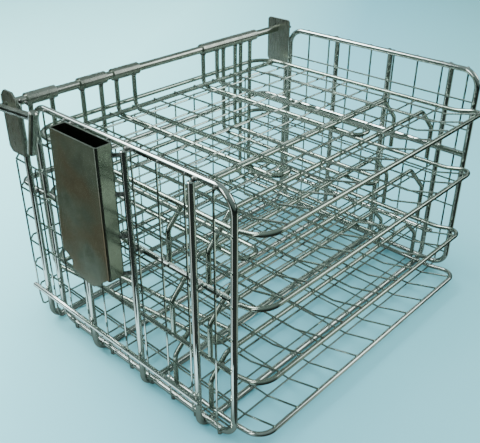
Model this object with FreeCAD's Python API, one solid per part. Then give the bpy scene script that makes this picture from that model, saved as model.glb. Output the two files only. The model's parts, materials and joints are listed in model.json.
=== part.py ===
import FreeCAD, Part
import math
import os

# Three-level wire washer rack: a wire basket with an open front, three wire shelves
# that swing up about one rod along the rear top edge, and a sheet-metal pocket on
# the left side.  Millimetres, +Z up, the floor at Z = 0, the open front towards -Y.
# The dimensions below run from the left side loop (x), from the loops' front
# uprights (y) and from the floor (z); place() moves them to the row's own origin,
# which is the bottom centre of the whole rack.

# ---- stock -------------------------------------------------------------------
loop_d = 7.94           # side loops and U-rods
rod_d = 6.35            # the other frame rods
wire_d = 2.4            # mesh wire
pin_d = 11.1            # hinge rod
hook_d = 9.5            # hook rod
sleeve_d = 16.0         # hinge sleeves
sleeve_clear = 0.08     # radial running clearance of a sleeve on the hinge rod
sheet_t = 2.0           # pocket
plate_t = 3.0           # bracket plates
gap = 0.3               # resting clearance under the feet

loop_r = loop_d / 2
rod_r = rod_d / 2
wire_r = wire_d / 2
pin_r = pin_d / 2
hook_r = hook_d / 2
sleeve_r = sleeve_d / 2

# ---- basket ------------------------------------------------------------------
width = 485.0           # between the two side loops
depth = 331.0           # side loop, front upright to rear upright
loop_z = loop_d + loop_r                 # its bottom rail, on top of the U-rods
loop_top = 326.7
loop_corner = 24.0

side_wire_x = loop_r + wire_r            # level wires lie on the loops' outer side
upright_x = side_wire_x + wire_d         # uprights lie outside the level wires
u_rod_x = loop_r + wire_d + loop_r       # U-rods lie outside the level wires too
cross_z = loop_d - wire_r                # mesh cross wires, flush with the U-rods
long_z = loop_d + wire_r                 # base's long wires, on top of both

u_rod_y = [46.5, 147.0, 244.0, 347.5]
u_rod_top = loop_top
u_rod_bend = 17.5
upright_y = [19.5 + 39.8 * i for i in range(9)] + [381.5]
upright_top = 327.4
tuck_z = 28.0                            # from here down they close on the loops' rails
level_z = [281.1 - 41.4 * i for i in range(7)]
level_end = 1.0                          # they reach this far past the loops' uprights
corner_r = 17.0                          # rear corners of the level wires
back_y = 396.0                           # rear run of the level wires
back_top = level_z[1]
rear_corner_y = back_y - corner_r
base_wire_x = [width / 2 + 41 * (i - 5) for i in range(11)]

stiffener_x = loop_r - rod_r             # flush with the loops' outer side
stiffener_z = 205.2
stiffener_y = back_y - wire_r - rod_r

lip_y = -25.0           # front rails reach out in front of the loops
lip_start = 17.0        # where the rails and the long wires start to rise
lip_rise = 9.0
base_lip_y = -28.0
base_lip_rise = 6.5
base_rail_x = 16.0
front_corner = 22.0
rear_corner = 36.0
base_rail_end = 130.0
base_rail_z = loop_d + rod_r

runner_x = u_rod_x + loop_r + rod_r
runner_z = 53.0
runner_y = (38.0, 372.0)

# ---- hinge -------------------------------------------------------------------
hinge_y = 363.0
hinge_z = 322.2
plate_left_x = -u_rod_x - loop_r - plate_t / 2
plate_right_x = width
plate_left = (340.5, 373.5, 259.7, 340.5)
plate_right = (depth + loop_r, 380.0, 267.7, 339.7)
hinge_x = (plate_left_x - plate_t / 2, 491.5)

hook_x = plate_left_x - plate_t / 2 - hook_r
hook_arm = ((369.0, 319.0), (297.0, 325.0))
hook_leg = ((294.0, 333.0), (312.0, 274.0))

# ---- pocket ------------------------------------------------------------------
pocket_x = (-40.5, -18.3)
pocket_y = (152.5, 235.5)
pocket_z = (150.0, 336.2)
pocket_flare = 9.0      # the rear edge leans back by this much on its way down
pocket_foot = [(150.0, 174.0), (157.0, 174.0), (185.0, 152.7), (198.0, 152.7), (225.0, 161.0),
               (225.0, 173.0), (250.0, 188.0)]      # its lower edge, front to rear
standoff_z = (176.0, 225.0, 277.0, 322.0)

# ---- shelves -----------------------------------------------------------------
# name: side-rail height and leg-knee drop, then (sleeve x range, arm x pair, how far
# the arm's run steps inwards) for the left and right
shelves = {
    "bottom": (85.0, 28.0, ((9.0, 51.0), (14.0, 45.0), 34.5), ((393.0, 430.0), (397.0, 419.0), 0)),
    "middle": (184.7, 45.0, ((87.0, 129.0), (91.5, 121.5), 0), ((353.2, 392.7), (357.0, 384.0), 0)),
    "top": (272.9, 37.0, ((141.0, 185.0), (147.5, 178.0), 0), ((309.0, 352.9), (313.0, 343.0), 0)),
}
frame_x = 18.0
rear_rail_y = 378.0
rear_rod_y = 352.0
rear_rod_x = frame_x + rod_r + 1.2      # it meets the rails where their rear bends begin
shelf_wire_x = [width / 2 + 39.5 * (i - 5) for i in range(11)]
shelf_cross_y = [-2.0 + 40 * i for i in range(9)]
leg_y = {"front": 51.0, "rear": 113.0}
leg_x = 14.5
leg_bend = 12.0
arm_bend = 12.0
arm_front_y = 73.0

x_mid = (pocket_x[0] + width + runner_x + rod_r) / 2
y_mid = (base_lip_y - rod_r + back_y + wire_d + wire_r) / 2


def place(x, y, z):
    return FreeCAD.Vector(x - x_mid, y - y_mid, z)


def rounded(points, bends, chords, closed):
    """The path with each corner bent to its radius, in even short chords."""
    count = len(points)
    path = []
    for i, (p, bend) in enumerate(zip(points, bends)):
        if not closed and i in (0, count - 1):
            path.append(p)
            continue
        into = (p - points[i - 1]).normalize()
        out = (points[(i + 1) % count] - p).normalize()
        turn = into.getAngle(out)
        steps = max(1, round(turn / math.radians(90) * (chords + 1)))
        if bend == 0 or steps == 1:
            path.append(p)
            continue
        inward = (out - into * math.cos(turn)) * (1 / math.sin(turn))
        centre = p - into * (bend * math.tan(turn / 2)) + inward * bend
        step = turn / steps
        reach = bend / math.cos(step / 2)
        for k in range(steps):
            a = (k + 0.5) * step
            path.append(centre + (into * math.sin(a) - inward * math.cos(a)) * reach)
    return path


def bar(points, diameter, bend=0.0, sides=12, chords=2, closed=False):
    """A bent bar: a many-sided section of the round one's area swept along the path."""
    points = [place(*p) for p in points]
    bends = bend if isinstance(bend, list) else [bend] * len(points)
    path = rounded(points, bends, chords, closed)
    start = path[0]
    along = path[1] - path[0]
    if closed:
        start = (path[0] + path[1]) * 0.5
        path = [start] + path[1:] + [path[0], start]
    spread = math.sqrt(math.pi / (0.5 * sides * math.sin(2 * math.pi / sides)))
    ring = Part.makeCircle(diameter / 2 * spread, start, along)
    section = Part.makePolygon(ring.discretize(sides + 1))
    return Part.makePolygon(path).makePipeShell([section], True, True, 1)


def wire(*points, bend=0.0):
    return bar(points, wire_d, bend, sides=6, chords=1)


def sleeve_blank(x0, x1):
    return bar([(x0, hinge_y, hinge_z), (x1, hinge_y, hinge_z)], sleeve_d, sides=24)


def make_sleeve(x0, x1):
    """A sleeve, many-sided outside and bored truly round to run on the hinge rod."""
    bore = Part.makeCylinder(pin_r + sleeve_clear, x1 - x0, place(x0, hinge_y, hinge_z),
                             FreeCAD.Vector(1, 0, 0))
    return sleeve_blank(x0, x1).cut(bore)


def save(name, solids):
    solids = solids if isinstance(solids, list) else [solids]
    shape = solids[0] if len(solids) == 1 else Part.makeCompound(solids)
    shape.exportStep("parts/" + name + ".step")


def side_x(side, offset):
    """x at a distance outside the left or the right side loop."""
    return -offset if side == "left" else width + offset


def make_loop(side):
    """A closed side loop, notched where its bottom rail sinks into the U-rods' welds."""
    x = side_x(side, 0)
    corner = (depth - loop_r) / 2
    path = [(x, corner, loop_z), (x, 0, loop_z), (x, 0, loop_top), (x, depth, loop_top),
            (x, depth, loop_z)]
    loop = bar(path, loop_d, loop_corner, closed=True)
    for y in u_rod_y:
        loop = loop.cut(make_u_rod(y))
    return loop


def make_u_rod(y):
    left = side_x("left", u_rod_x)
    right = side_x("right", u_rod_x)
    return bar([(left, y, u_rod_top), (left, y, loop_r), (right, y, loop_r),
                (right, y, u_rod_top)], loop_d, u_rod_bend)


def make_uprights(side):
    """The mesh uprights, which wrap round the loop's bottom rail to meet the base."""
    x = side_x(side, upright_x)
    near = side_x(side, side_wire_x)
    under = side_x(side, 0)
    bends = [0, 0, side_wire_x - 0.01, 0]
    solids = []
    for y in upright_y:
        top = upright_top if y < depth else back_top
        solids.append(wire((x, y, top), (x, y, tuck_z), (near, y, cross_z), (under, y, cross_z),
                           bend=bends))
    return solids


def make_base_cross():
    left = side_x("left", 0)
    right = side_x("right", 0)
    return [wire((left, y, cross_z), (right, y, cross_z)) for y in upright_y]


def make_side_wires(side):
    x = side_x(side, side_wire_x)
    ends = [depth + level_end] + [rear_corner_y] * 6
    return [wire((x, -level_end, z), (x, end, z)) for z, end in zip(level_z, ends)]


def make_rear_wires():
    solids = []
    for z in level_z[1:]:
        for side in ("left", "right"):
            x = side_x(side, side_wire_x)
            turn = side_x(side, side_wire_x - corner_r)
            solids.append(wire((x, rear_corner_y, z), (x, back_y, z), (turn, back_y, z),
                               bend=corner_r - 0.01))
        solids.append(wire((side_x("left", side_wire_x - corner_r), back_y, z),
                           (side_x("right", side_wire_x - corner_r), back_y, z)))
    return solids


def make_rear_uprights():
    y = back_y + wire_d
    return [wire((x, y, back_top), (x, y, long_z - wire_r)) for x in base_wire_x]


def make_base_long():
    rear = back_y + wire_r
    tip = base_rail_z + base_lip_rise + rod_r + wire_r
    solids = []
    for x in base_wire_x:
        solids.append(wire((x, lip_start, long_z), (x, rear, long_z)))
        solids.append(wire((x, lip_start, long_z), (x, base_lip_y, tip)))
    return solids


def make_stiffener(side):
    x = side_x(side, stiffener_x)
    return bar([(x, loop_r, stiffener_z), (x, depth - loop_r, stiffener_z)], rod_d)


def make_rear_stiffener():
    left = side_x("left", stiffener_x)
    right = side_x("right", stiffener_x)
    start = depth + loop_r
    z = stiffener_z
    return bar([(left, start, z), (left, stiffener_y, z), (right, stiffener_y, z),
                (right, start, z)], rod_d, 16)


def make_base_rail():
    low = base_rail_z
    high = low + base_lip_rise
    left = base_rail_x
    right = width - base_rail_x
    return bar([(left, base_rail_end, low), (left, lip_start, low), (left, base_lip_y, high),
                (right, base_lip_y, high), (right, lip_start, low), (right, base_rail_end, low)],
               rod_d, front_corner)


def make_runner(side):
    x = side_x(side, runner_x)
    return bar([(x, runner_y[0], runner_z), (x, runner_y[1], runner_z)], rod_d)


def make_plate(x, extent, corners):
    """A bracket plate parallel to the sides, with the hinge rod's hole."""
    y0, y1, z0, z1 = extent
    cut_low, cut_high = corners
    x0 = x - plate_t / 2
    outline = [(y0, z0), (y1 - cut_low, z0), (y1, z0 + cut_low), (y1, z1 - cut_high),
               (y1 - cut_high, z1), (y0 + cut_high, z1), (y0, z1 - cut_high), (y0, z0)]
    face = Part.Face(Part.makePolygon([place(x0, y, z) for y, z in outline]))
    plate = face.extrude(FreeCAD.Vector(plate_t, 0, 0))
    hole = Part.makeCylinder(pin_r, 2 * plate_t, place(x - plate_t, hinge_y, hinge_z),
                             FreeCAD.Vector(1, 0, 0))
    return plate.cut(hole)


def make_hook():
    """The bent rod on the left plate: a level arm run into a leg with bevelled ends."""
    arm = bar([(hook_x, y, z) for y, z in hook_arm], hook_d)
    leg = bar([(hook_x, y, z) for y, z in hook_leg], hook_d + 1)
    ends = [e for e in leg.Edges if e.Length < 5]
    return arm.fuse(leg.makeChamfer(1.6, ends))


def make_pocket():
    """A bent-sheet tube, open at both ends, with a slanted and stepped lower edge."""
    x0, x1 = pocket_x
    y0, y1 = pocket_y
    z0, z1 = pocket_z

    def prism(start, length, outline):
        face = Part.Face(Part.makePolygon([place(start, y, z) for y, z in outline]))
        return face.extrude(FreeCAD.Vector(length, 0, 0))

    def core(inset, radius):
        near = y0 + inset
        far = y1 - inset
        block = prism(x0 + inset, x1 - x0 - 2 * inset,
                      [(near, z0), (far + pocket_flare, z0), (far, z1), (near, z1), (near, z0)])
        upright = [e for e in block.Edges if abs(e.tangentAt(0).z) > 0.9]
        return block.makeFillet(radius, upright)

    first, last = pocket_foot[0][0], pocket_foot[-1][0]
    below = prism(x0 - 1, x1 - x0 + 2,
                  [(first, z0 - 5)] + pocket_foot + [(last, z0 - 5), (first, z0 - 5)])
    return core(0, 3.0).cut(core(sheet_t, 1.0)).cut(below)


def make_standoffs():
    """Short studs that carry the pocket on the second U-rod."""
    x = -u_rod_x
    y = u_rod_y[1]
    carrier = make_u_rod(y)
    shell = make_pocket()
    studs = [bar([(x, y, z), (pocket_x[1] - 1.8, pocket_y[0] + 1.4, z)], 5.0, sides=6)
             for z in standoff_z]
    return [stud.cut(carrier).cut(shell) for stud in studs]


def make_frame(z):
    high = z + lip_rise
    left = frame_x
    right = width - frame_x
    path = [(left, 200, z), (left, lip_start, z), (left, lip_y, high), (right, lip_y, high),
            (right, lip_start, z), (right, rear_rail_y, z), (left, rear_rail_y, z)]
    bends = [0, 0, front_corner, front_corner, 0, rear_corner, rear_corner]
    return bar(path, rod_d, bends, closed=True)


def make_long_wires(z):
    low = z + wire_d
    tip = z + lip_rise + rod_r + wire_r
    solids = []
    for x in shelf_wire_x:
        solids.append(wire((x, lip_start, low), (x, rear_rod_y, low)))
        solids.append(wire((x, lip_start, low), (x, lip_y, tip)))
    return solids


def make_cross_wires(z):
    inner = frame_x + rod_r
    return [wire((inner, y, z), (width - inner, y, z)) for y in shelf_cross_y if y > lip_start]


def make_leg_rod(z, y, drop, foot):
    high = z + wire_r - rod_r
    knee = z - drop
    knee_x = leg_x + high - knee
    return bar([(leg_x, y, foot), (leg_x, y, knee), (knee_x, y, high),
                (width - knee_x, y, high), (width - leg_x, y, knee),
                (width - leg_x, y, foot)], rod_d, leg_bend)


def make_arm(z, pair, step):
    """The U-shaped arm that hangs a shelf from one sleeve."""
    x0, x1 = pair
    low = z + wire_r - 3 * rod_r
    turn = (x1 - x0) / 2
    top = hinge_z - sleeve_r + 1.0
    arm = bar([(x0, hinge_y, top), (x0, hinge_y, low), (x0 + step, arm_front_y, low),
               (x1 + step, arm_front_y, low), (x1, hinge_y, low), (x1, hinge_y, top)],
              rod_d, min(arm_bend, turn - 0.01))
    return arm.cut(sleeve_blank(x0 - rod_d, x1 + rod_d))


os.makedirs("parts", exist_ok=True)

for side in ("left", "right"):
    save("side_loop_" + side, make_loop(side))
    save("side_uprights_" + side, make_uprights(side))
    save("side_wires_" + side, make_side_wires(side))
    save("stiffener_" + side, make_stiffener(side))
    save("runner_" + side, make_runner(side))
for number, y in enumerate(u_rod_y, 1):
    save("u_rod_%d" % number, make_u_rod(y))
save("stiffener_rear", make_rear_stiffener())
save("rear_wires", make_rear_wires())
save("rear_uprights", make_rear_uprights())
save("base_cross_wires", make_base_cross())
save("base_long_wires", make_base_long())
save("base_front_rail", make_base_rail())
save("bracket_plate_left", make_plate(plate_left_x, plate_left, (6.0, 8.0)))
save("bracket_plate_right", make_plate(plate_right_x, plate_right, (4.0, 3.0)))
save("hinge_rod", Part.makeCylinder(pin_r, hinge_x[1] - hinge_x[0],
                                    place(hinge_x[0], hinge_y, hinge_z),
                                    FreeCAD.Vector(1, 0, 0)))
save("hook_rod", make_hook())
save("pocket_shell", make_pocket())
save("pocket_standoffs", make_standoffs())

below = base_rail_z
for name, (z, drop, left, right) in shelves.items():
    save(name + "_frame", make_frame(z))
    save(name + "_rear_rod", bar([(rear_rod_x, rear_rod_y, z + wire_r - rod_r),
                                  (width - rear_rod_x, rear_rod_y, z + wire_r - rod_r)],
                                 rod_d))
    save(name + "_long_wires", make_long_wires(z))
    save(name + "_cross_wires", make_cross_wires(z))
    for row, y in leg_y.items():
        save(name + "_" + row + "_legs", make_leg_rod(z, y, drop, below + rod_r + gap))
    save(name + "_sleeves", [make_sleeve(*sleeve) for sleeve, pair, step in (left, right)])
    save(name + "_arm_left", make_arm(z, left[1], left[2]))
    save(name + "_arm_right", make_arm(z, right[1], right[2]))
    below = z
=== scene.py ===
import json
import math
import random

import bmesh
import bpy
from mathutils import Matrix, Vector


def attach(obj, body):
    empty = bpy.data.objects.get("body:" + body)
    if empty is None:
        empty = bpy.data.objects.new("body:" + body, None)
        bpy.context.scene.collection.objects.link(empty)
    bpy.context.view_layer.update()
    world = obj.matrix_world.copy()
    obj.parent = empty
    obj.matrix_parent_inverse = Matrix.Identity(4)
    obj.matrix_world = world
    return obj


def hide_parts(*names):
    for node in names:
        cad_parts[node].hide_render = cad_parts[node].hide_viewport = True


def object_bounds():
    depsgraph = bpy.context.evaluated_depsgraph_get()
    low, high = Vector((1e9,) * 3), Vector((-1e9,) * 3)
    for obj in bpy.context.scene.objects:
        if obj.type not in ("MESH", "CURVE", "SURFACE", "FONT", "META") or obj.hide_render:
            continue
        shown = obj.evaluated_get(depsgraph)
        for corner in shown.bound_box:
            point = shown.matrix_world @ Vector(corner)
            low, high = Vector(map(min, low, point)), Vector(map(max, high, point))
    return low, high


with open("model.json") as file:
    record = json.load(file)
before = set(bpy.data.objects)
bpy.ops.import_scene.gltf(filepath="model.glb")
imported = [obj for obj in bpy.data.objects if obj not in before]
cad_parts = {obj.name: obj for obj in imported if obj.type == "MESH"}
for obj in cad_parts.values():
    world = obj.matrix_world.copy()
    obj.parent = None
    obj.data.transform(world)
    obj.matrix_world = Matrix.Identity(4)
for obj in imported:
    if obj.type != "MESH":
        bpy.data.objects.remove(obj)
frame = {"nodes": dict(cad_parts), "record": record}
cad_box = [list(v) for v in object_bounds()]
nodes = frame["nodes"]
slots = {s["node"]: s["material_slot"] for s in frame["record"]["subparts"]}
body_of = {node: body for body, held in frame["record"]["behaviour"]["bodies"].items() for node in held}
MM = 0.001


# ---------------------------------------------------------------- camera
def make_camera():
    """A camera in front of the rack's left corner, looking down at it, rolled by a hair."""
    azimuth, elevation, roll = math.radians(-47.08), math.radians(30.27), 0.00566
    data = bpy.data.cameras.new("camera")
    cam = bpy.data.objects.new("camera", data)
    bpy.context.scene.collection.objects.link(cam)
    back = Vector((math.sin(azimuth) * math.cos(elevation),
                   -math.cos(azimuth) * math.cos(elevation), math.sin(elevation)))
    right = (-back).cross(Vector((0, 0, 1))).normalized()
    up = right.cross(-back)
    turned_right = right * math.cos(roll) + up * math.sin(roll)
    turned_up = up * math.cos(roll) - right * math.sin(roll)
    place = Matrix((turned_right, turned_up, back)).transposed().to_4x4()
    place.translation = Vector((-0.6222, -0.5536, 0.6109))
    cam.matrix_world = place
    data.sensor_fit = "HORIZONTAL"
    data.sensor_width = 36.0
    data.lens = 50.43
    data.clip_start = 0.02
    data.clip_end = 60.0
    bpy.context.scene.camera = cam


# ---------------------------------------------------------------- node helpers
def add(tree, kind, **values):
    """A shader node, with inputs or settings given by name."""
    node = tree.nodes.new(kind)
    for key, value in values.items():
        if key in node.inputs:
            node.inputs[key].default_value = value
        else:
            setattr(node, key, value)
    return node


def ramp(tree, source, stops):
    """A colour ramp over source; each stop is (place, colour)."""
    node = tree.nodes.new("ShaderNodeValToRGB")
    elements = node.color_ramp.elements
    while len(elements) < len(stops):
        elements.new(0.5)
    for element, (place, value) in zip(elements, stops):
        element.position = place
        element.color = value if len(value) == 4 else (*value, 1.0)
    tree.links.new(source, node.inputs["Fac"])
    return node.outputs["Color"]


def grey(value):
    return (value, value, value, 1.0)


def split(tree, vector):
    """The X, Y and Z outputs of a vector."""
    parts = tree.nodes.new("ShaderNodeSeparateXYZ")
    tree.links.new(vector, parts.inputs["Vector"])
    return [parts.outputs[axis] for axis in "XYZ"]


def maths(tree, operation, a, b=None, c=None, clamp=False):
    """A maths node; each operand is a number or another node's output."""
    node = tree.nodes.new("ShaderNodeMath")
    node.operation = operation
    node.use_clamp = clamp
    for socket, value in zip(node.inputs, (a, b, c)):
        if value is None:
            continue
        if isinstance(value, (int, float)):
            socket.default_value = value
        else:
            tree.links.new(value, socket)
    return node.outputs["Value"]


def mix(tree, factor, a, b, blend="MIX"):
    """A colour mix; each operand is a constant or another node's output."""
    node = tree.nodes.new("ShaderNodeMix")
    node.data_type = "RGBA"
    node.blend_type = blend
    for socket, value in ((node.inputs["Factor"], factor), (node.inputs[6], a), (node.inputs[7], b)):
        if isinstance(value, (int, float, tuple)):
            socket.default_value = value
        else:
            tree.links.new(value, socket)
    return node.outputs[2]


def noise(tree, coords, scale, detail=3.0, rough=0.5, stretch=(1, 1, 1)):
    """A noise texture's value, its coordinates stretched first."""
    mapping = tree.nodes.new("ShaderNodeMapping")
    mapping.inputs["Scale"].default_value = stretch
    tree.links.new(coords, mapping.inputs["Vector"])
    node = add(tree, "ShaderNodeTexNoise", Scale=scale, Detail=detail, Roughness=rough)
    tree.links.new(mapping.outputs["Vector"], node.inputs["Vector"])
    return node.outputs["Fac"]


def new_material(name):
    """A new material with its tree, its shader and the object's own coordinates."""
    material = bpy.data.materials.new(name)
    material.use_nodes = True
    tree = material.node_tree
    shader = tree.nodes["Principled BSDF"]
    coords = tree.nodes.new("ShaderNodeTexCoord").outputs["Object"]
    return material, tree, shader, coords


# ---------------------------------------------------------------- materials
def steel(name, light, dark, rough_low, rough_high, cloud_scale=30.0):
    """Electropolished stainless steel: faintly cloudy, with soft changes of gloss."""
    material, tree, shader, coords = new_material(name)
    cloud = noise(tree, coords, cloud_scale, 3.0, 0.55)
    tree.links.new(ramp(tree, cloud, [(0.35, dark), (0.65, light)]), shader.inputs["Base Color"])
    fine = noise(tree, coords, 3.0 * cloud_scale)
    wear = ramp(tree, fine, [(0.3, grey(rough_low)), (0.7, grey(rough_high))])
    tree.links.new(wear, shader.inputs["Roughness"])
    shader.inputs["Metallic"].default_value = 1.0
    return material


def brushed_sheet(name, light, dark, stain, rough_low, rough_high):
    """Brushed sheet: upright grain, specks and a warm heat stain on its outer face."""
    material, tree, shader, coords = new_material(name)
    cloud = noise(tree, coords, 34.0, 4.0, 0.6)
    grain = noise(tree, coords, 900.0, 3.0, 0.6, (1, 1, 0.05))
    specks = noise(tree, coords, 420.0, 4.0, 0.7)
    base = ramp(tree, cloud, [(0.34, dark), (0.66, light)])
    patch = ramp(tree, noise(tree, coords, 17.0, 2.0, 0.5), [(0.42, grey(0.0)), (0.60, grey(1.0))])
    facing_x, _, _ = split(tree, tree.nodes.new("ShaderNodeNewGeometry").outputs["Normal"])
    patch = maths(tree, "MULTIPLY", patch, maths(tree, "MULTIPLY", facing_x, -1.0, clamp=True))
    base = mix(tree, patch, base, mix(tree, 0.62, base, stain))
    dirt = ramp(tree, specks, [(0.0, grey(0.6)), (0.34, grey(0.9)), (0.44, grey(1.0))])
    tree.links.new(mix(tree, 1.0, base, dirt, "MULTIPLY"), shader.inputs["Base Color"])
    wear = ramp(tree, grain, [(0.3, grey(rough_low)), (0.75, grey(rough_high))])
    tree.links.new(wear, shader.inputs["Roughness"])
    relief = add(tree, "ShaderNodeBump", Strength=0.25, Distance=0.00005)
    tree.links.new(grain, relief.inputs["Height"])
    tree.links.new(relief.outputs["Normal"], shader.inputs["Normal"])
    shader.inputs["Metallic"].default_value = 1.0
    return material


MATERIALS = {
    "mesh_wire": steel("mesh_wire_steel", (0.60, 0.68, 0.63), (0.50, 0.57, 0.52), 0.10, 0.14),
    "frame_rod": steel("frame_rod_steel", (0.64, 0.71, 0.67), (0.56, 0.62, 0.58), 0.05, 0.08),
    "shelf_rod": steel("shelf_rod_steel", (0.45, 0.53, 0.46), (0.38, 0.45, 0.39), 0.18, 0.22),
    "shelf_wire": steel("shelf_wire_steel", (0.44, 0.52, 0.46), (0.38, 0.45, 0.40), 0.18, 0.22),
    "hinge_steel": steel("hinge_rod_steel", (0.58, 0.62, 0.56), (0.42, 0.46, 0.40), 0.16, 0.26),
    "hinge_sleeve": steel("hinge_sleeve_steel", (0.54, 0.58, 0.52), (0.38, 0.42, 0.36), 0.22, 0.34),
    "bracket_plate": brushed_sheet("bracket_plate_steel", (0.52, 0.55, 0.49), (0.36, 0.39, 0.34),
                                   (0.42, 0.42, 0.34, 1.0), 0.22, 0.38),
    "pocket_sheet": brushed_sheet("pocket_sheet_steel", (0.44, 0.50, 0.42), (0.30, 0.34, 0.28),
                                  (0.36, 0.24, 0.13, 1.0), 0.16, 0.24),
    "weld_metal": steel("weld_metal_steel", (0.36, 0.38, 0.35), (0.07, 0.08, 0.07), 0.20, 0.40, 160.0),
}


SHEET_CREASE, ROD_CREASE = math.radians(30), math.radians(66)


def dress_nodes():
    """Materials and smooth shading for the CAD nodes."""
    for name, node in nodes.items():
        slot = slots[name]
        if not node.material_slots:
            node.data.materials.append(None)
        for place in node.material_slots:
            place.material = MATERIALS[slot]
        mesh = node.data
        mesh.polygons.foreach_set("use_smooth", [True] * len(mesh.polygons))
        sheet = slot in ("bracket_plate", "pocket_sheet")
        mesh.set_sharp_from_angle(angle=SHEET_CREASE if sheet else ROD_CREASE)


def mesh_object(name, mesh, material, smooth=True):
    """A scene object made from a bmesh, in one material."""
    data = bpy.data.meshes.new(name)
    mesh.to_mesh(data)
    mesh.free()
    data.materials.append(material)
    data.polygons.foreach_set("use_smooth", [smooth] * len(data.polygons))
    piece = bpy.data.objects.new(name, data)
    bpy.context.scene.collection.objects.link(piece)
    return piece


# ---------------------------------------------------------------- smooth rods
# The CAD's bent rods are many-sided; these stand for them, round and evenly bent.
# Millimetres from the left side loop, the loops' front uprights and the floor.
X_MID, Y_MID = 232.58, 184.2125
WIDTH, DEPTH = 485.0, 331.0
LOOP_R, ROD_R, WIRE_R = 3.97, 3.175, 1.2
LOOP_TOP = 326.7
U_ROD_X = 2 * LOOP_R + 2 * WIRE_R
U_ROD_Y = (46.5, 147.0, 244.0, 347.5)
STIFFENER_X, STIFFENER_Z = LOOP_R - ROD_R, 205.2
BACK_Y = 396.0
HINGE_Y, HINGE_Z = 363.0, 322.2
LIP_START, LIP_Y, LIP_RISE = 17.0, -25.0, 9.0
BASE_RAIL_X, BASE_RAIL_Z, BASE_LIP_Y, BASE_LIP_RISE = 16.0, 2 * LOOP_R + ROD_R, -28.0, 6.5
FRAME_X, REAR_RAIL_Y = 18.0, 378.0
LEG_X, LEG_Y = 14.5, {"front": 51.0, "rear": 113.0}
ARM_FRONT_Y = 73.0
SLEEVE_R, SLEEVE_SINK, FOOT_GAP = 8.0, 1.0, 0.3
BASE_RAIL_END_Y, SHELF_RAIL_MID_Y = 130.0, 200.0
LOOP_BEND, U_ROD_BEND, STIFFENER_BEND, LEG_BEND, REAR_BEND = 24.0, 17.5, 16.0, 12.0, 36.0
RISE_BEND, LIP_BEND = 60.0, 22.0
ARC_STEP = math.radians(7)
CHAMFER, CHAMFER_RUN, CHAMFER_CREASE = 0.5, 0.4, math.radians(40)
SHELF = {       # rail height, knee drop, then arm x pair and inward step, left and right
    "bottom": (85.0, 28.0, (14.0, 45.0, 34.5), (397.0, 419.0, 0)),
    "middle": (184.7, 45.0, (91.5, 121.5, 0), (357.0, 384.0, 0)),
    "top": (272.9, 37.0, (147.5, 178.0, 0), (313.0, 343.0, 0)),
}


def bent_path(points, bends, closed):
    """Path points with each corner turned into an even arc."""
    count = len(points)
    path = []
    for i, (point, bend) in enumerate(zip(points, bends)):
        if bend == 0 or (not closed and i in (0, count - 1)):
            path.append(point)
            continue
        into = (point - points[i - 1]).normalized()
        out = (points[(i + 1) % count] - point).normalized()
        turn = into.angle(out)
        inward = (out - into * math.cos(turn)) / math.sin(turn)
        centre = point - into * (bend * math.tan(turn / 2)) + inward * bend
        steps = max(2, round(turn / ARC_STEP))
        for k in range(steps + 1):
            a = turn * k / steps
            path.append(centre + (into * math.sin(a) - inward * math.cos(a)) * bend)
    return path


def tube(node, points, radius, bend=0.0, closed=False, sides=20):
    """A round rod that stands for a CAD node; open ends are lightly chamfered.

    The section is carried along the path without turning, and a closed path's leftover
    turn is spread over all its rings.
    """
    points = [Vector(p) for p in points]
    bends = bend if isinstance(bend, list) else [bend] * len(points)
    path = bent_path(points, bends, closed)
    count = len(path)
    ends = range(count)
    if closed:
        tangents = [(path[(i + 1) % count] - path[i - 1]).normalized() for i in ends]
    else:
        tangents = [(path[min(i + 1, count - 1)] - path[max(i - 1, 0)]).normalized() for i in ends]
    side = tangents[0].orthogonal().normalized()
    sides_along = [side]
    for i in range(1, count):
        side = tangents[i - 1].rotation_difference(tangents[i]) @ side
        sides_along.append((side - tangents[i] * side.dot(tangents[i])).normalized())
    twist = 0.0
    if closed:
        last = tangents[-1].rotation_difference(tangents[0]) @ sides_along[-1]
        twist = math.atan2(last.cross(sides_along[0]).dot(tangents[0]), last.dot(sides_along[0]))
    rings = []
    for i in ends:
        turned = Matrix.Rotation(twist * i / count, 3, tangents[i]) @ sides_along[i]
        rings.append((path[i], turned, tangents[i].cross(turned)))
    mesh = bmesh.new()

    def ring(place, u, v, r):
        spots = [place + (u * math.cos(a) + v * math.sin(a)) * r
                 for a in (2 * math.pi * k / sides for k in range(sides))]
        return [mesh.verts.new(((p.x - X_MID) * MM, (p.y - Y_MID) * MM, p.z * MM)) for p in spots]

    if closed:
        loops = [ring(*here, radius) for here in rings]
    else:
        first, last = rings[0], rings[-1]
        ahead = (path[1] - path[0]).normalized() * CHAMFER_RUN
        behind = (path[-2] - path[-1]).normalized() * CHAMFER_RUN
        loops = [ring(*first, radius - CHAMFER), ring(first[0] + ahead, *first[1:], radius)]
        loops += [ring(*here, radius) for here in rings[1:-1]]
        loops += [ring(last[0] + behind, *last[1:], radius), ring(*last, radius - CHAMFER)]
    pairs = list(zip(loops, loops[1:])) + ([(loops[-1], loops[0])] if closed else [])
    for a, b in pairs:
        for k in range(sides):
            mesh.faces.new((a[k], a[(k + 1) % sides], b[(k + 1) % sides], b[k]))
    if not closed:
        mesh.faces.new(loops[0][::-1])
        mesh.faces.new(loops[-1])
    bmesh.ops.recalc_face_normals(mesh, faces=mesh.faces)
    rod = mesh_object(node + "_round", mesh, MATERIALS[slots[node]])
    rod.data.set_sharp_from_angle(angle=CHAMFER_CREASE)
    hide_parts(node)
    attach(rod, body_of[node])


def side_x(side, offset):
    """The x that lies offset outside the left or the right side loop's plane."""
    return -offset if side == "left" else WIDTH + offset


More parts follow.
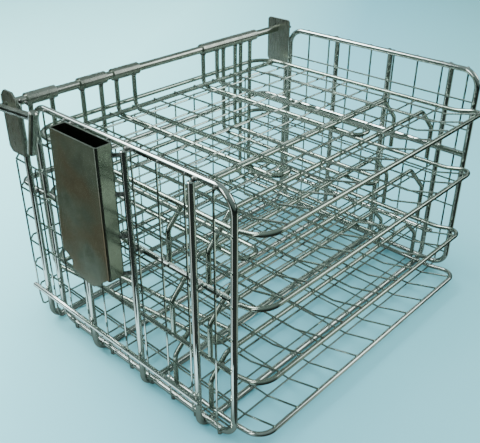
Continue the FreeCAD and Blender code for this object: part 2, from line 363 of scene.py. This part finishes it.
def make_basket_rods():
    """The basket's side loops, U-rods, rear stiffener and front base rail."""
    for side in ("left", "right"):
        x = side_x(side, 0)
        low = 3 * LOOP_R
        tube("side_loop_" + side, [(x, 0, low), (x, 0, LOOP_TOP), (x, DEPTH, LOOP_TOP), (x, DEPTH, low)],
             LOOP_R, LOOP_BEND, closed=True)
    left, right = side_x("left", U_ROD_X), side_x("right", U_ROD_X)
    for number, y in enumerate(U_ROD_Y, 1):
        tube("u_rod_%d" % number,
             [(left, y, LOOP_TOP), (left, y, LOOP_R), (right, y, LOOP_R), (right, y, LOOP_TOP)],
             LOOP_R, U_ROD_BEND)
    left, right = side_x("left", STIFFENER_X), side_x("right", STIFFENER_X)
    start, back, z = DEPTH + LOOP_R, BACK_Y - WIRE_R - ROD_R, STIFFENER_Z
    tube("stiffener_rear", [(left, start, z), (left, back, z), (right, back, z), (right, start, z)],
         ROD_R, STIFFENER_BEND)
    left, right, z = BASE_RAIL_X, WIDTH - BASE_RAIL_X, BASE_RAIL_Z
    end, high = BASE_RAIL_END_Y, z + BASE_LIP_RISE
    tube("base_front_rail", [(left, end, z), (left, LIP_START, z), (left, BASE_LIP_Y, high),
                             (right, BASE_LIP_Y, high), (right, LIP_START, z), (right, end, z)],
         ROD_R, [0, RISE_BEND, LIP_BEND, LIP_BEND, RISE_BEND, 0])


def make_shelf_rods():
    """Each shelf's frame, its two leg rods and its two hinge arms."""
    below = BASE_RAIL_Z
    for shelf, (z, drop, *arms) in SHELF.items():
        left, right, high = FRAME_X, WIDTH - FRAME_X, z + LIP_RISE
        tube(shelf + "_frame", [(left, SHELF_RAIL_MID_Y, z), (left, LIP_START, z), (left, LIP_Y, high),
                                (right, LIP_Y, high), (right, LIP_START, z), (right, REAR_RAIL_Y, z),
                                (left, REAR_RAIL_Y, z)],
             ROD_R, [0, RISE_BEND, LIP_BEND, LIP_BEND, RISE_BEND, REAR_BEND, REAR_BEND], closed=True)
        run, knee, foot = z + WIRE_R - ROD_R, z - drop, below + ROD_R + FOOT_GAP
        knee_x = LEG_X + run - knee
        for row, y in LEG_Y.items():
            tube(shelf + "_" + row + "_legs",
                 [(LEG_X, y, foot), (LEG_X, y, knee), (knee_x, y, run), (WIDTH - knee_x, y, run),
                  (WIDTH - LEG_X, y, knee), (WIDTH - LEG_X, y, foot)], ROD_R, LEG_BEND)
        low, top = z + WIRE_R - 3 * ROD_R, HINGE_Z - SLEEVE_R + SLEEVE_SINK
        for side, (x0, x1, step) in zip(("left", "right"), arms):
            tube(shelf + "_arm_" + side,
                 [(x0, HINGE_Y, top), (x0, HINGE_Y, low), (x0 + step, ARM_FRONT_Y, low),
                  (x1 + step, ARM_FRONT_Y, low), (x1, HINGE_Y, low), (x1, HINGE_Y, top)],
                 ROD_R, min(LEG_BEND, (x1 - x0) / 2 - 0.2))
        below = z


# ---------------------------------------------------------------- welds
def beads(name, body, spots):
    """Small weld nuggets: each spot is (x, y, z, radius, flattening along x, y and z)."""
    mesh = bmesh.new()
    rng = random.Random(name)
    for x, y, z, radius, *flat in spots:
        squash = Vector(flat if flat else (1, 1, 1))
        angle = rng.uniform(0, math.pi)
        turn = Matrix.Rotation(angle, 4, Vector([rng.gauss(0, 1) for _ in range(3)]).normalized())
        at = Vector(((x - X_MID) * MM, (y - Y_MID) * MM, z * MM))
        made = bmesh.ops.create_icosphere(mesh, subdivisions=1, radius=radius * MM, matrix=turn)
        for vert in made["verts"]:
            rough = 1.0 + rng.uniform(-0.12, 0.12)
            vert.co = at + Vector(c * f * rough for c, f in zip(vert.co, squash))
    piece = mesh_object(name, mesh, MATERIALS["weld_metal"])
    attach(piece, body)


# Where the wires and rods meet, in the rods' millimetres.
UPRIGHT_Y = [19.5 + 39.8 * i for i in range(9)]
LEVEL_Z = [281.1 - 41.4 * i for i in range(7)]
BASE_X = [WIDTH / 2 + 41.0 * (i - 5) for i in range(11)]
BASE_Y = UPRIGHT_Y + [381.5]
SHELF_X = [WIDTH / 2 + 39.5 * (i - 5) for i in range(11)]
SHELF_Y = [-2.0 + 40.0 * i for i in range(1, 9)]
RUNNER_Z, UPRIGHT_FOOT_Z, U_ROD_FOOT_Z = 53.0, 8.2, 11.0
ARM_WELD_Z = HINGE_Z - 8.3


def make_welds():
    """A nugget at each crossing of the wires and rods, in the basket and then in each shelf."""
    spots = []
    for side in ("left", "right"):
        joint, wire_joint = side_x(side, LOOP_R + 2 * WIRE_R), side_x(side, LOOP_R + WIRE_R)
        spots += [(joint, y, z, 1.9) for y in UPRIGHT_Y for z in LEVEL_Z]
        spots += [(wire_joint, y, LOOP_TOP + 1.5, 2.2) for y in UPRIGHT_Y]
        spots += [(wire_joint, y, STIFFENER_Z, 2.7, 0.9, 1, 1) for y in UPRIGHT_Y]
        spots += [(side_x(side, 2.5), y, UPRIGHT_FOOT_Z, 2.4) for y in UPRIGHT_Y]
        for y in U_ROD_Y:
            spots += [(joint, y, LOOP_TOP + 1.0, 4.0, 0.9, 1, 0.7), (joint, y, STIFFENER_Z, 4.2, 0.9, 1, 1),
                      (side_x(side, U_ROD_X + LOOP_R), y, RUNNER_Z, 3.2, 0.7, 1, 1),
                      (side_x(side, 3.0), y, U_ROD_FOOT_Z, 4.6)]
    spots += [(x, BACK_Y + WIRE_R, z, 1.9) for x in BASE_X for z in LEVEL_Z[1:]]
    spots += [(x, BACK_Y, STIFFENER_Z, 2.4) for x in BASE_X]
    spots += [(x, y, 2 * LOOP_R, 1.8) for x in BASE_X for y in BASE_Y]
    beads("basket_welds", "basket", spots)
    for shelf, (z, _, *arms) in SHELF.items():
        spots = [(x, y, z + WIRE_R, 1.8) for x in SHELF_X for y in SHELF_Y]
        spots += [(x, LIP_Y, z + LIP_RISE + ROD_R, 2.0) for x in SHELF_X]
        inside = FRAME_X + ROD_R
        spots += [(x, y, z, 2.4, 1, 1, 0.8) for y in SHELF_Y for x in (inside, WIDTH - inside)]
        for *pair, _ in arms:
            spots += [(x, HINGE_Y, ARM_WELD_Z, 4.6, 1, 1, 0.45) for x in pair]
        beads(shelf + "_welds", "shelf_" + shelf, spots)


# ---------------------------------------------------------------- floor, world, lights
def sheet_object(name, low, high, height, material):
    """A flat stage sheet between two corners."""
    mesh = bmesh.new()
    bmesh.ops.create_grid(mesh, x_segments=8, y_segments=8, size=0.5)
    piece = mesh_object(name, mesh, material, smooth=False)
    piece.scale = (high[0] - low[0], high[1] - low[1], 1.0)
    piece.location = ((low[0] + high[0]) / 2, (low[1] + high[1]) / 2, height)
    return piece


FLOOR_GAP, NEAR_RISE, FLOOR_REACH, DOME_R = 0.0006, 0.0002, 9.0, 8.8


def make_floor():
    """A wide floor, paler towards the rear left as painted light, and a near sheet that only reflections
    show.

    The near sheet has a pale strip along its left edge, a painted reflected highlight, and is dark under the
    rack, painted shade for the rods to reflect.
    """
    material, tree, shader, _ = new_material("floor_colour_and_painted_light")
    x, y, _ = split(tree, tree.nodes.new("ShaderNodeNewGeometry").outputs["Position"])
    # painted light: the floor's colour ramps from dark teal to pale cyan towards the rear left, a painted
    # light falloff
    slant, per_metre = 0.54, 0.65
    across = maths(tree, "SUBTRACT", y, maths(tree, "MULTIPLY", x, slant))
    across = maths(tree, "MULTIPLY_ADD", across, per_metre, 0.5)
    shade = ramp(tree, across, [(0.10, (0.17, 0.43, 0.45)), (0.50, (0.19, 0.52, 0.60)),
                                (1.0, (0.44, 1.0, 1.0))])
    tree.links.new(shade, shader.inputs["Base Color"])
    shader.inputs["Roughness"].default_value = 0.8
    shader.inputs["Specular IOR Level"].default_value = 0.15
    ground = cad_box[0][2] - FLOOR_GAP
    wide = sheet_object("floor", (-FLOOR_REACH, -FLOOR_REACH), (FLOOR_REACH, FLOOR_REACH), ground, material)
    wide.visible_glossy = False

    material, tree, shader, _ = new_material("floor_near_painted_reflection")
    x, _, _ = split(tree, tree.nodes.new("ShaderNodeNewGeometry").outputs["Position"])
    shifted = maths(tree, "ADD", x, 1.0)        # a ramp runs from 0 to 1
    # painted reflection: pale left of x = -0.33 m as a painted highlight, dark from x = -0.28 m on as
    # painted shade under the rack
    shade = ramp(tree, shifted, [(0.67, (0.62, 0.78, 0.80)), (0.72, (0.10, 0.13, 0.12))])
    tree.links.new(shade, shader.inputs["Base Color"])
    shader.inputs["Roughness"].default_value = 0.9
    near = sheet_object("floor_near", (-0.37, -0.22), (2.5, 2.5), ground + NEAR_RISE, material)
    near.visible_camera = near.visible_diffuse = near.visible_shadow = near.visible_transmission = False


def make_backdrop():
    """A pale studio dome behind the floor's horizon, seen by the camera alone."""
    material, tree, shader, _ = new_material("backdrop_paint")
    shader.inputs["Base Color"].default_value = (0, 0, 0, 1)
    shader.inputs["Specular IOR Level"].default_value = 0.0
    shader.inputs["Emission Color"].default_value = (0.42, 0.60, 0.63, 1)
    shader.inputs["Emission Strength"].default_value = 1.0
    mesh = bmesh.new()
    bmesh.ops.create_uvsphere(mesh, u_segments=48, v_segments=24, radius=DOME_R)
    dome = mesh_object("backdrop", mesh, material)
    dome.visible_diffuse = dome.visible_glossy = dome.visible_shadow = dome.visible_transmission = False


def window(tree, value, low, high, edge):
    """1 between low and high, 0 outside, with a soft edge."""
    return ramp(tree, value, [(low - edge, grey(0.0)), (low, grey(1.0)),
                              (high, grey(1.0)), (high + edge, grey(0.0))])


PANELS = (      # turn around the rack, height, colour
    ((0.75, 0.86), (0.76, 0.88), (3.0, 3.4, 3.5, 1.0)),
    ((0.35, 0.37), (0.54, 0.60), (1.2, 1.3, 1.25, 1.0)),
    ((0.938, 0.962), (0.15, 0.36), (1.3, 1.4, 1.4, 1.0)),
    ((0.55, 0.66), (0.58, 0.66), (0.9, 1.0, 1.0, 1.0)),
    ((0.81, 0.93), (0.19, 0.34), (0.15, 0.18, 0.15, 1.0)),
    ((0.35, 0.40), (0.18, 0.34), (0.66, 0.82, 0.69, 1.0)),
)


def make_world():
    """A dim studio with soft-edged panels of light; turn and height both run from 0 to 1."""
    world = bpy.data.worlds.new("studio")
    bpy.context.scene.world = world
    world.use_nodes = True
    tree = world.node_tree
    background = tree.nodes["Background"]
    x, y, z = split(tree, tree.nodes.new("ShaderNodeTexCoord").outputs["Generated"])
    height = maths(tree, "MULTIPLY_ADD", z, 0.5, 0.5)
    around = maths(tree, "MULTIPLY_ADD", maths(tree, "ARCTAN2", y, x), 0.5 / math.pi, 0.5)
    colour = ramp(tree, height, [(0.0, (0.05, 0.06, 0.055)), (0.46, (0.012, 0.016, 0.015)),
                                 (0.52, (0.08, 0.11, 0.10)), (0.75, (0.17, 0.22, 0.21)),
                                 (1.0, (0.30, 0.37, 0.36))])
    for turn, rise, glow in PANELS:
        lit = maths(tree, "MULTIPLY", window(tree, around, *turn, 0.015), window(tree, height, *rise, 0.025))
        colour = mix(tree, lit, colour, glow)
    tree.links.new(colour, background.inputs["Color"])
    background.inputs["Strength"].default_value = 1.0


def area_light(name, place, aim, size, power, colour):
    """A rectangular lamp at place, turned to aim."""
    data = bpy.data.lights.new(name, "AREA")
    data.shape = "RECTANGLE"
    data.size, data.size_y = size
    data.energy = power
    data.color = colour
    lamp = bpy.data.objects.new(name, data)
    bpy.context.scene.collection.objects.link(lamp)
    lamp.location = place
    lamp.rotation_mode = "QUATERNION"
    lamp.rotation_quaternion = (Vector(aim) - Vector(place)).to_track_quat("-Z", "Y")
    return lamp


make_camera()
make_world()
make_floor()
make_backdrop()
dress_nodes()
make_basket_rods()
make_shelf_rods()
make_welds()
area_light("key", (-0.6, 1.5, 2.2), (0, 0, 0.1), (1.6, 0.9), 45, (0.92, 0.98, 1.0))
area_light("side", (-2.0, 0.2, 1.1), (0, 0, 0.2), (0.5, 1.6), 10, (0.95, 1.0, 1.0))
area_light("fill", (1.8, -1.4, 1.6), (0, 0, 0.2), (1.2, 1.2), 14, (0.95, 1.0, 1.0))
dome = area_light("dome", (0.0, 0.0, 2.6), (0, 0, 0), (4.0, 4.0), 240, (0.82, 0.95, 1.0))
dome.visible_glossy = False
